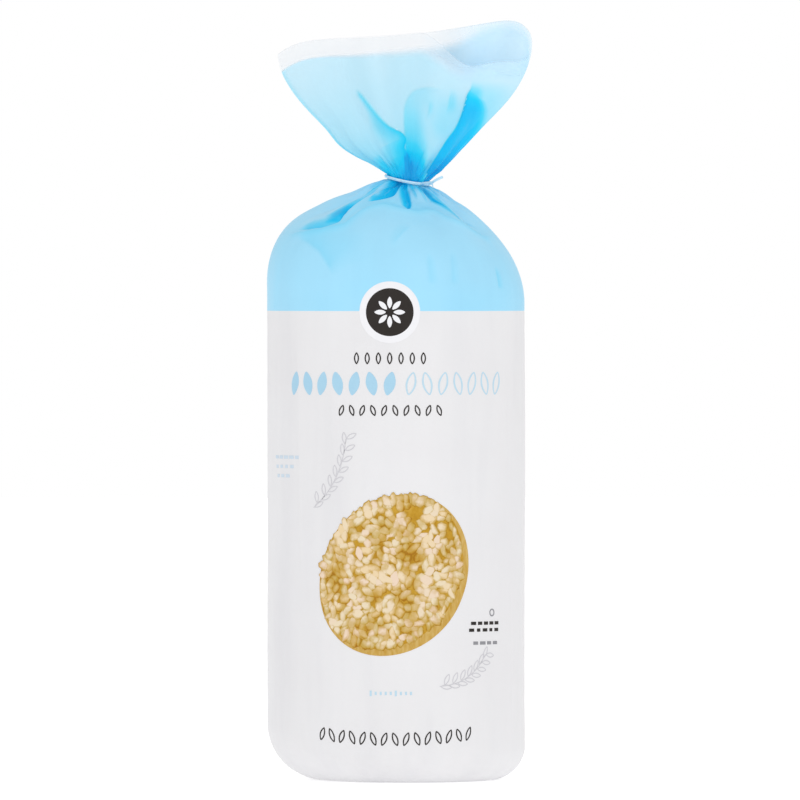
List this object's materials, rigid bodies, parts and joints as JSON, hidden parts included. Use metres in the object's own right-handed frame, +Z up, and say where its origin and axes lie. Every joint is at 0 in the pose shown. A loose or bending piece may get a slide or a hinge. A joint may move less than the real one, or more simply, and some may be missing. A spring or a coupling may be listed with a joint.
{
  "type": "bag of puffed rice cakes",
  "caption": "Shut, twist-tied film bag around an upright round stack of puffed rice cakes, with the gathered film fanned out loose above the tie.",
  "frame": {"origin": "on the surface that the bag stands on, under the middle of the whole outline", "axes": "+Z up along the stack of cakes, printed front faces -Y"},
  "size_m": [0.1028, 0.1, 0.294],
  "materials": {
    "film": "satin printed plastic film",
    "tie": "pale plastic ribbon over a wire"
  },
  "bodies": {
    "root": {"bag": "film", "twist_tie": "tie"}
  },
  "joints": []
}
